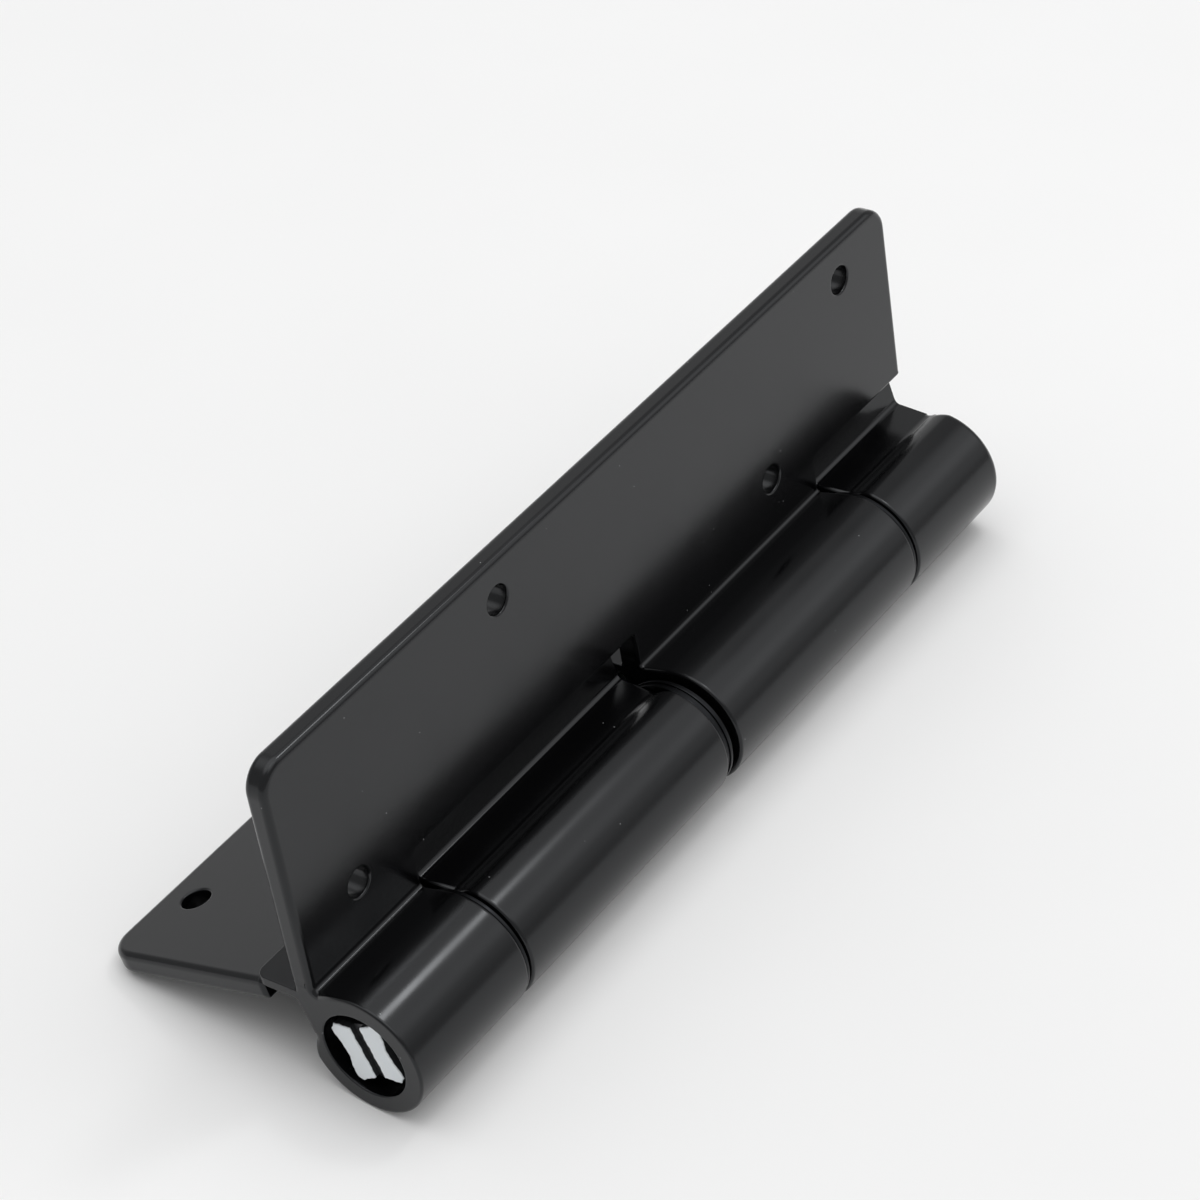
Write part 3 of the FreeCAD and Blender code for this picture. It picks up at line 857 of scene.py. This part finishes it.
        window = math.degrees(math.asin(self.lock_window / radius))
        window_start, window_end = self.lock_angle - window, self.lock_angle + window
        ring_one = arc((0, 0), radius, flank_angle, window_start)
        ring_two = arc((0, 0), radius, window_start, window_end, 2 * window / WINDOW_STEPS)
        wide, most, small, thin = radius, self.groove_rim, self.foot_rim, self.lip_rim
        ring, fillet_share, plate, flank = (0, 0), (0.5, 1), (1, 1), (1, 0)
        parts = (
            (ring_one, ring, (wide, wide)),
            (ring_two, ring, (wide, wide)),
            (arc((0, 0), radius, window_end, self.groove_start), ring, (wide, wide)),
            (arc_through(ring_end, side, floor[0], bend), ring, (wide, most)),
            (arc_through(*floor, self.floor_points), ring, (most, most)),
            (straight(floor[2], foot[0]), ring, (most, small)),
            (arc_through(*foot, np.array([lip, low]), bend), ring, (small, thin)),
            (np.array([[lip, low], [lip + sink, shallow], [lip + sink, deep], [lip_back - sink, deep]]),
             ring, (thin, thin)),
            (arc((lip_back + inner, -back - inner), inner, 180, 90, CORNER_STEP), fillet_share, (thin, wide)),
            (np.array([[lip_back + inner, -back], [lip_back + inner + begin, sink - back],
                       [root, sink - back], [root, -front - sink], [fillet[0][0] + begin, -front - sink]]),
             plate, (wide, wide)),
            (arc_through(*fillet, bend), plate, (wide, wide)),
            (straight(fillet[2], flank_end), flank, (wide, wide)),
        )
        path, weight = joined([(points, *share) for points, share, _ in parts])
        _, room = joined([(points, *space) for points, _, space in parts])
        return path, weight, room, len(ring_one)

    def add_plate(self, shape: Shape) -> None:
        """Add the plate, from its knuckle side to its mounting side, with its screw holes.

        Args:
            shape: shape of the leaf.
        """
        lay = Lay((0, 0, -self.plate_front), (1, 0, 0), (0, 1, 0), (0, 0, -1))
        holes = [Outline.of(circle(self.screw_radius, place), self.screw_rim) for place in self.screw_places]
        shape.prism(self.plate_outline(), lay, self.plate_back - self.plate_front, holes)

    def add_knuckle(self, shape: Shape, start: float, end: float) -> None:
        """Add one knuckle with its neck and bore; the first one gets the lock screw's hole.

        Args:
            shape: shape of the leaf.
            start: near end of the knuckle along the axis.
            end: its far end.
        """
        path, weight, room, column = self.section()
        at_end = start == self.spans[0][0]
        near_rim, near_root = self.knuckle_rim, self.notch_rim
        if at_end:
            near_rim, near_root = self.end_rim, self.plate_rim
        cup = self.groove_cup * np.maximum(self.knuckle_radius - np.linalg.norm(path, axis=1), 0)
        near = np.minimum(near_rim + weight * (near_root - near_rim) + cup, room)
        outline = Outline.of(path, near, np.minimum(self.knuckle_rim + cup, room))
        bore = Outline.of(circle(self.bore_radius, step=self.bore_step), self.bore_rim)
        lay = Lay.along_axis(start)
        if not at_end:
            shape.prism(outline, lay, end - start, [bore])
            return
        steps = np.linspace(-self.lock_window, self.lock_window, WINDOW_STEPS + 1)
        skip = np.zeros((2 * END_ROWS + WINDOW_STEPS, len(path)), bool)
        skip[END_ROWS:END_ROWS + WINDOW_STEPS, column:column + WINDOW_STEPS] = True
        shape.prism(outline, lay, end - start, [bore], self.lock_x - start + steps, skip)
        widest = math.degrees(math.asin(self.lock_window / self.knuckle_radius))
        angle = np.radians(np.linspace(-1, 1, WINDOW_STEPS + 1)) * widest
        self.add_lock_hole(shape, self.knuckle_radius * np.sin(angle), steps)

    def add_lock_hole(self, shape: Shape, across: Array, along: Array) -> None:
        """Fill the window in the first knuckle's side with a round, rimmed hole.

        The window's border is drawn in to a circle in straight steps on the ring, height sqrt(R^2 - u^2)
        over the tangent offset u; then the rim turns in and the wall goes down to a closed bottom.

        Args:
            shape: shape of the leaf.
            across: tangent offsets of the window's columns.
            along: offsets of its rows along the axis.
        """
        low, high = np.full(WINDOW_STEPS, along[0]), np.full(WINDOW_STEPS, along[-1])
        left, right = np.full(WINDOW_STEPS, across[0]), np.full(WINDOW_STEPS, across[-1])
        border = np.column_stack((
            np.concatenate((across[:-1], right, across[:0:-1], left)),
            np.concatenate((low, along[:-1], high, along[:0:-1]))))
        ray = border / np.linalg.norm(border, axis=1)[:, None]
        t = np.linspace(0, math.pi / 2, RIM_STEPS + 1)[:, None, None]
        mouth = ray * (self.lock_radius + self.lock_rim + SUPPORT)
        draw = np.linspace(0, 1, self.lock_draw_rows)[:, None, None]
        bottom = [ray * self.lock_radius, ray * self.lock_radius / 2, ray * 0.0]
        flat = np.concatenate((
            border + draw * (mouth - border),
            ray * (self.lock_radius + self.lock_rim * (1 - np.sin(t))),
            bottom))
        sunk = np.concatenate((
            np.zeros(self.lock_draw_rows),
            self.lock_rim * (1 - np.cos(t[:, 0, 0])),
            np.full(len(bottom), self.lock_depth)))
        height = np.sqrt(self.knuckle_radius ** 2 - flat[:, :, 0] ** 2) - sunk[:, None]
        out = unit(self.lock_angle)
        shape.grid(np.stack((
            self.lock_x + flat[:, :, 1],
            height * out[0] - flat[:, :, 0] * out[1],
            height * out[1] + flat[:, :, 0] * out[0]), axis=2))

    def add_lip(self, shape: Shape, start: float, end: float) -> None:
        """Add the locating lip under one knuckle: a thin plate with two rounded corners and a rounded tip.

        Args:
            shape: shape of the leaf.
            start: near end of the knuckle along the axis.
            end: its far end.
        """
        start, end = start + HIDDEN_STEP, end - HIDDEN_STEP
        r, top, tip = self.lip_corner, self.lip_overlap - self.plate_back, -self.lip_reach
        thin, round_tip = self.lip_rim, self.lip_tip_rim
        path, face_rim = rounded((
            Corner(end, top, thin, thin),
            Corner(start, top, thin, thin),
            Corner(start, tip, thin, round_tip, r, CORNER_STEP / 2),
            Corner(end, tip, round_tip, thin, r, CORNER_STEP / 2)))
        lay = Lay((0, self.lip_face, 0), (1, 0, 0), (0, 0, 1), (0, 1, 0))
        shape.prism(Outline.of(path, face_rim, thin), lay, self.lip_back - self.lip_face)

    def build(self) -> None:
        """Build the leaf and put it on its body."""
        shape = Shape()
        self.add_plate(shape)
        for start, end in self.spans:
            self.add_knuckle(shape, start, end)
            self.add_lip(shape, start, end)
        end = End.NEAR if self.side is Side.GATE else End.FAR
        name = self.side.value
        piece = shape.made(f"{name}_coated", self.hinge.seat(self.hinge.gate_angle, end), COAT)
        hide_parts(name)
        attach(piece, name)


@dataclass
class Adjuster:
    """Slotted spring adjuster in the open end of an outer knuckle, and the screw that locks it."""

    hinge: HingeFrame
    end: End
    body: Side
    lock_angle: float
    recess: float = 0.9
    land_radius: float = 7.6
    land_flats: float = 11.6
    land_length: float = 12.0
    land_inner_length: float = 10.4
    land_waist: float = 0.8
    land_rim: float = 0.22
    land_step: float = 0.3
    land_ragged: float = 0.12
    waist_points: int = 24
    slot_width: float = 2.3
    slot_depth: float = 1.2
    slot_angle: float = 62.4
    web_rim: float = 0.1
    head_start: float = 3.7
    head_end: float = 16.7
    head_radius: float = 8.4
    head_rim: float = 0.5
    groove: Pair = (7.6, 13.4)
    groove_radius: float = 6.9
    shank_radius: float = 4.5
    shank_end: float = 83.0
    overlap: float = 0.3
    screw_x: float = 10.5
    screw_radius: float = 2.5
    screw_rim: float = 0.35
    screw_outer: float = 11.6
    screw_inner: float = 7.2
    socket_flats: float = 2.5
    socket_depth: float = 2.0
    socket_rim: float = 0.15
    socket_overlap: float = 0.01

    def land_path(self, sign: float) -> Array:
        """Outline of one half of the boss: straight along the slot, flared at both ends, with a slight waist.

        The ends slant outwards from the slot to the boss's circle. The outer edge stands at half the
        flats, less a waist of a raised cosine along it.

        Args:
            sign: 1 for the half above the slot, -1 for the one below it.

        Returns:
            Points across the axis, counter-clockwise.
        """
        inner, outer, r = self.slot_width / 2, self.land_flats / 2, self.land_radius
        start, end = self.land_inner_length / 2, self.land_length / 2
        low, high = math.degrees(math.acos(end / r)), math.degrees(math.asin(outer / r))
        side = r * math.sin(math.radians(low))
        reach = r * math.cos(math.radians(high))
        along = np.linspace(reach, -reach, self.waist_points, endpoint=False)
        waist = outer - self.land_waist * 0.5 * (1 + np.cos(math.pi * along / reach))
        path = np.concatenate((
            straight((-start, inner), (start, inner)),
            straight((start, inner), (end, side)),
            arc((0, 0), r, low, high),
            np.column_stack((along, waist)),
            arc((0, 0), r, 180 - high, 180 - low),
            straight((-end, side), (-start, inner))))
        return sign * ragged(path, self.land_step, self.land_ragged)

    def build(self) -> None:
        """Build the adjuster and its lock screw, and put each on its body."""
        shape = Shape()
        step_y, step_z = unit(self.slot_angle)
        along, across = (0.0, step_y, step_z), (0.0, -step_z, step_y)
        lands = Lay((self.recess, 0, 0), along, across, (1, 0, 0))
        height = self.head_start + self.overlap - self.recess
        for sign in (1.0, -1.0):
            shape.prism(Outline.of(self.land_path(sign), self.land_rim), lands, height)
        floor = SQUARE * (0.5 * self.land_inner_length, self.slot_width)
        web = Lay((self.recess + self.slot_depth, 0, 0), along, across, (1, 0, 0))
        shape.prism(Outline.of(floor, self.web_rim), web, height - self.slot_depth)
        discs = ((self.head_radius, self.head_start, self.groove[0]),
                 (self.groove_radius, self.groove[0] - self.overlap, self.groove[1] + self.overlap),
                 (self.head_radius, self.groove[1], self.head_end),
                 (self.shank_radius, self.head_end - self.overlap, self.shank_end))
        for radius, start, stop in discs:
            shape.prism(Outline.of(circle(radius), self.head_rim), Lay.along_axis(start), stop - start)
        name = f"{self.end.value}_adjuster"
        piece = shape.made(f"{name}_slotted", self.hinge.seat(0.0, self.end), MARKED_STEEL)
        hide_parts(name)
        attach(piece, name)
        self.build_lock_screw()

    def build_lock_screw(self) -> None:
        """Build the set screw with its hexagon socket, radial to the hinge axis."""
        shape = Shape()
        step_y, step_z = unit(self.lock_angle)
        out, side = np.array([0.0, step_y, step_z]), (0.0, -step_z, step_y)
        corners = circle(self.socket_flats / math.sqrt(3), step=360 / 6)
        following = np.roll(corners, -1, axis=0)
        hexagon = np.concatenate([straight(a, b) for a, b in zip(corners, following)])
        bottom = self.screw_outer - self.socket_depth
        for outer, inner, holes in ((self.screw_outer, bottom, [Outline.of(hexagon, self.socket_rim)]),
                                    (bottom + self.socket_overlap, self.screw_inner, [])):
            origin = np.array([self.screw_x, 0, 0]) + out * outer
            lay = Lay(tuple(origin), (1, 0, 0), side, tuple(-out))
            shape.prism(Outline.of(circle(self.screw_radius), self.screw_rim), lay, outer - inner, holes)
        name = f"{self.end.value}_lock_screw"
        piece = shape.made(f"{name}_socketed", self.hinge.seat(0.0, self.end), ZINC)
        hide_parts(name)
        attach(piece, self.body.value)


@dataclass
class Washers:
    """Rings in the gaps between the knuckles, each one or more steps of radius, start and end."""

    hinge: HingeFrame
    hole_radius: float = 4.75
    rim: float = 0.12
    rings: tuple[tuple[str, Side, tuple[Triple, ...]], ...] = (
        ("near_gap_washer", Side.GATE, ((11.7, 30.0, 30.7),)),
        ("far_gap_washer", Side.GATE, ((11.7, 155.2, 155.9),)),
        ("middle_thick_washer", Side.POST, ((11.5, 91.2, 91.75), (11.25, 91.7, 92.6), (11.5, 92.55, 93.2))),
        ("middle_thin_washer", Side.POST, ((11.0, 93.2, 93.9),)),
        ("middle_spacer", Side.POST, ((7.5, 93.9, 95.1),)),
    )

    def build(self) -> None:
        """Build every ring and put it on the body of the knuckle it lies against."""
        for name, side, steps in self.rings:
            shape = Shape()
            hole = Outline.of(circle(self.hole_radius), self.rim)
            for radius, start, end in steps:
                ring = Outline.of(circle(radius, step=ROUND_STEP), self.rim)
                shape.prism(ring, Lay.along_axis(start), end - start, [hole])
            piece = shape.made(f"{name}_ring", self.hinge.seat(0.0, End.NEAR), BLACK_STEEL)
            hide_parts(name)
            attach(piece, side.value)


@dataclass(frozen=True)
class SpringSet:
    """The hidden pieces inside the knuckles, which keep their modelled shape."""

    dress: tuple[tuple[str, Finish], ...] = (
        ("bush", POLYMER),
        ("torsion_spring", SPRING_WIRE),
        ("spring_driver", ZINC),
        ("driver_pin", ZINC),
        ("spring_anchor", ZINC),
        ("pivot_pin", ZINC),
    )

    def dress_all(self, nodes: dict[str, bpy.types.Object]) -> None:
        """Give each hidden node its finish.

        Args:
            nodes: the model's nodes by name.
        """
        for ending, finish in self.dress:
            for name in sorted(n for n in nodes if n.endswith(ending)):
                nodes[name].data.materials.clear()
                nodes[name].data.materials.append(finish.material())
                LOG.info("%s: %s", name, finish.name)


def direction(heading: float, height: float) -> Array:
    """Unit step towards a heading from +X and a height over the horizon, both in degrees."""
    turn, rise = math.radians(heading), math.radians(height)
    return np.array([math.cos(turn) * math.cos(rise), math.sin(turn) * math.cos(rise), math.sin(rise)])


@dataclass(frozen=True)
class Glow:
    """A soft light far off: full within one angle from its middle, then fading out to another."""

    heading: float
    height: float
    inner: float
    outer: float
    radiance: float

    def strength(self, tree: Tree, way: Socket) -> Socket:
        """Radiance seen in a direction.

        It goes by the cosine to the middle, from none at the outer angle to full at the inner one.

        Args:
            tree: node tree of the surroundings.
            way: socket with the direction.

        Returns:
            Socket with the radiance.
        """
        middle = tuple(direction(self.heading, self.height).tolist())
        cosine = add_node(tree, "VectorMath", {0: way, 1: middle}, operation="DOT_PRODUCT")
        low, high = math.cos(math.radians(self.outer)), math.cos(math.radians(self.inner))
        fade = add_node(tree, "MapRange", interpolation_type="SMOOTHSTEP",
                        inputs={"Value": cosine.outputs["Value"], "From Min": low, "From Max": high,
                                "To Max": self.radiance})
        return fade.outputs["Result"]


@dataclass(frozen=True)
class Studio:
    """Pale table, soft surroundings, a small lamp and the camera."""

    camera_place: Triple = (-394.52, -297.645, 463.43)
    camera_heading: float = 36.47
    camera_dip: float = 41.08
    camera_roll: float = -2.32
    lens: float = 109.63
    sensor: float = 36.0
    clip: Pair = (0.01, 50.0)
    table_half_width: float = 15.0
    table_drop: float = 0.05
    room_radiance: float = 0.455
    glows: tuple[Glow, ...] = (
        Glow(90.0, 77.0, 16.0, 42.0, 1.31),
        Glow(-85.0, 62.0, 6.0, 28.0, 1.1),
        Glow(-36.0, 46.0, 4.0, 26.0, 0.7),
        Glow(-42.0, 25.0, 2.0, 22.0, 0.4),
        Glow(52.0, 12.0, 8.0, 30.0, 0.28),
    )
    spot_aim: Triple = (-142.0, -26.0, 24.0)
    spot_heading: float = -12.0
    spot_height: float = 55.0
    spot_distance: float = 700.0
    spot_width: float = 110.0
    spot_radiance: float = 10.0

    def build(self) -> None:
        """Build table, surroundings, lamp and camera."""
        self.build_table()
        self.build_surroundings()
        self.build_spot()
        self.build_camera()

    def build_table(self) -> None:
        """One flat sheet just under the hinge, which shows its shadow."""
        level = np.full((len(SQUARE), 1), -self.table_drop * MM)
        corners = np.hstack((self.table_half_width * SQUARE, level))
        mesh = bpy.data.meshes.new("table")
        mesh.from_pydata(corners.tolist(), [], [(0, 1, 2, 3)])
        mesh.materials.append(TABLE.material())
        table = bpy.data.objects.new("table", mesh)
        bpy.context.scene.collection.objects.link(table)

    def build_surroundings(self) -> None:
        """Even white room light from all sides, with soft glows added to it."""
        world = bpy.data.worlds.new("room")
        world.use_nodes = True
        tree = world.node_tree
        tree.nodes.clear()
        way = add_node(tree, "TexCoord").outputs["Generated"]
        total: Any = self.room_radiance
        for glow in self.glows:
            total = add_node(tree, "Math", {0: total, 1: glow.strength(tree, way)}).outputs[0]
        light = add_node(tree, "Background", {"Color": (1.0, 1.0, 1.0, 1.0), "Strength": total})
        add_node(tree, "OutputWorld", {"Surface": light.outputs["Background"]})
        bpy.context.scene.world = world

    def build_spot(self) -> None:
        """Small round lamp close by, which lights the first knuckle most: power is pi x area x radiance."""
        light = bpy.data.lights.new("small_lamp", "AREA")
        light.shape = "DISK"
        light.size = self.spot_width * MM
        light.energy = self.spot_radiance * math.pi * math.pi * (light.size / 2) ** 2
        lamp = bpy.data.objects.new("small_lamp", light)
        away = direction(self.spot_heading, self.spot_height)
        lamp.location = (np.array(self.spot_aim) + self.spot_distance * away) * MM
        lamp.rotation_euler = (0.0, math.radians(90 - self.spot_height), math.radians(self.spot_heading))
        lamp.visible_camera = False
        bpy.context.scene.collection.objects.link(lamp)

    def build_camera(self) -> None:
        """Camera from its place, heading, dip below the horizon and roll."""
        heading, roll = math.radians(self.camera_heading), math.radians(self.camera_roll)
        look = direction(self.camera_heading, -self.camera_dip)
        level = np.array([math.sin(heading), -math.cos(heading), 0.0])
        upright = np.cross(level, look)
        right = math.cos(roll) * level + math.sin(roll) * upright
        up = math.cos(roll) * upright - math.sin(roll) * level
        pose = np.eye(4)
        pose[:3, :3] = np.column_stack((right, up, -look))
        pose[:3, 3] = np.array(self.camera_place) * MM
        lens = bpy.data.cameras.new("camera")
        lens.lens, lens.sensor_width = self.lens, self.sensor
        lens.clip_start, lens.clip_end = self.clip
        camera = bpy.data.objects.new("camera", lens)
        camera.matrix_world = Matrix(pose.tolist())
        bpy.context.scene.collection.objects.link(camera)
        bpy.context.scene.camera = camera


def main() -> None:
    """Build the hinge's pieces in order, then the studio around it."""
    logging.basicConfig(level=logging.INFO, format="%(name)s %(message)s")
    swing = next(j for j in frame["record"]["behaviour"]["joints"] if j["name"] == "leaf_swing")
    hinge = HingeFrame(axis=tuple(v / MM for v in swing["pos_m"]))
    Leaf(hinge, Side.GATE, lock_angle=180.4542, end_rim=0.5, lip_reach=21.4).build()
    Leaf(hinge, Side.POST, lock_angle=59.0493, end_rim=1.6, lip_reach=20.5).build()
    Adjuster(hinge, End.NEAR, Side.GATE, lock_angle=-97.0).build()
    Adjuster(hinge, End.FAR, Side.POST, lock_angle=141.5952).build()
    Washers(hinge).build()
    SpringSet().dress_all(frame["nodes"])
    Studio().build()
    bpy.context.scene.view_settings.view_transform = "Standard"


if __name__ == "__main__":
    main()
